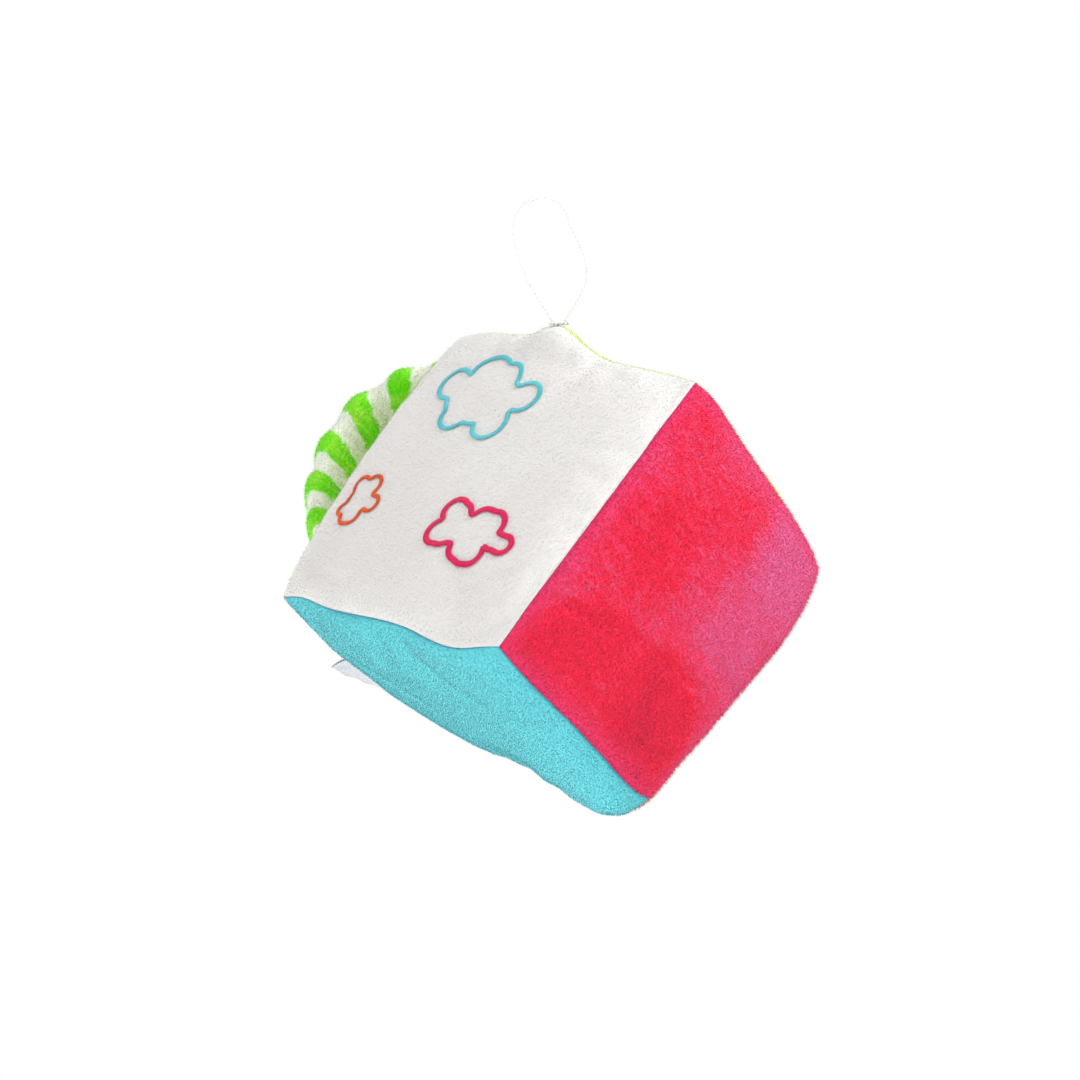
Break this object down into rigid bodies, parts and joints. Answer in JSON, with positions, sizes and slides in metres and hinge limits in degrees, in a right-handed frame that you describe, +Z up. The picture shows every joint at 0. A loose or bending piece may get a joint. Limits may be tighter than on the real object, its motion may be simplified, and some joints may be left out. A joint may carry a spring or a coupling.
{
  "type": "soft fabric block",
  "caption": "Stuffed plush block that hangs from a cord loop, with a striped grab handle, embroidered cloud outlines, a care label and a rattle inside.",
  "frame": {"origin": "the top of the hanging loop, on the cord's centre line, where a hook or a longer string carries the block", "axes": "+Z up against gravity. The block hangs below the origin, turned so that its weight is under the cord: its white front looks towards -Y and up, its magenta side towards +X, and its grab handle is on -X."},
  "size_m": [0.1708, 0.1419, 0.1932],
  "materials": {
    "white_plush": "short-pile plush",
    "magenta_plush": "short-pile plush",
    "turquoise_plush": "short-pile plush",
    "lime_plush": "short-pile plush",
    "orange_plush": "short-pile plush",
    "green_striped_plush": "plush with slanting green and pale green stripes",
    "filling": "loose polyester fibre",
    "rattle_plastic": "moulded",
    "ball_steel": "plain",
    "aqua_thread": "satin stitch",
    "pink_thread": "satin stitch",
    "orange_thread": "satin stitch",
    "label_tape": "woven tape",
    "white_cord": "thin twisted cord"
  },
  "bodies": {
    "loop": {"hang_cord": "white_cord"},
    "sewn_root": {"cord_tack": "white_cord"},
    "block": {"front_panel": "white_plush", "right_panel": "magenta_plush", "bottom_panel": "turquoise_plush", "top_panel": "lime_plush", "left_panel": "lime_plush", "back_panel": "orange_plush", "front_stuffing": "filling", "back_stuffing": "filling", "rattle_lower_shell": "rattle_plastic", "rattle_upper_shell": "rattle_plastic", "handle_cover": "green_striped_plush", "handle_wadding": "filling", "aqua_cloud_embroidery": "aqua_thread", "pink_cloud_embroidery": "pink_thread", "orange_cloud_embroidery": "orange_thread"},
    "ball": {"rattle_ball": "ball_steel"},
    "label": {"care_label": "label_tape"}
  },
  "joints": [
    {"name": "cord_twist", "type": "hinge", "parent": "loop", "child": "sewn_root", "pos_m": [0.00321, 0.00357, -0.0397], "axis": [0, 0, 1], "range_deg": [-90, 90]},
    {"name": "block_swing", "type": "hinge", "parent": "sewn_root", "child": "block", "pos_m": [0.00321, 0.00357, -0.041], "axis": [1, 0, 0], "range_deg": [-25, 25]},
    {"name": "ball_roll", "type": "slide", "parent": "block", "child": "ball", "axis": [0, 0, 1], "range_m": [0, 0.0182]},
    {"name": "label_flex", "type": "hinge", "parent": "block", "child": "label", "pos_m": [-0.06011, -0.02144, -0.15684], "axis": [-0.0311, 0.8554, -0.517], "range_deg": [-45, 45], "stiffness_Nm_per_rad": 0.0002}
  ]
}
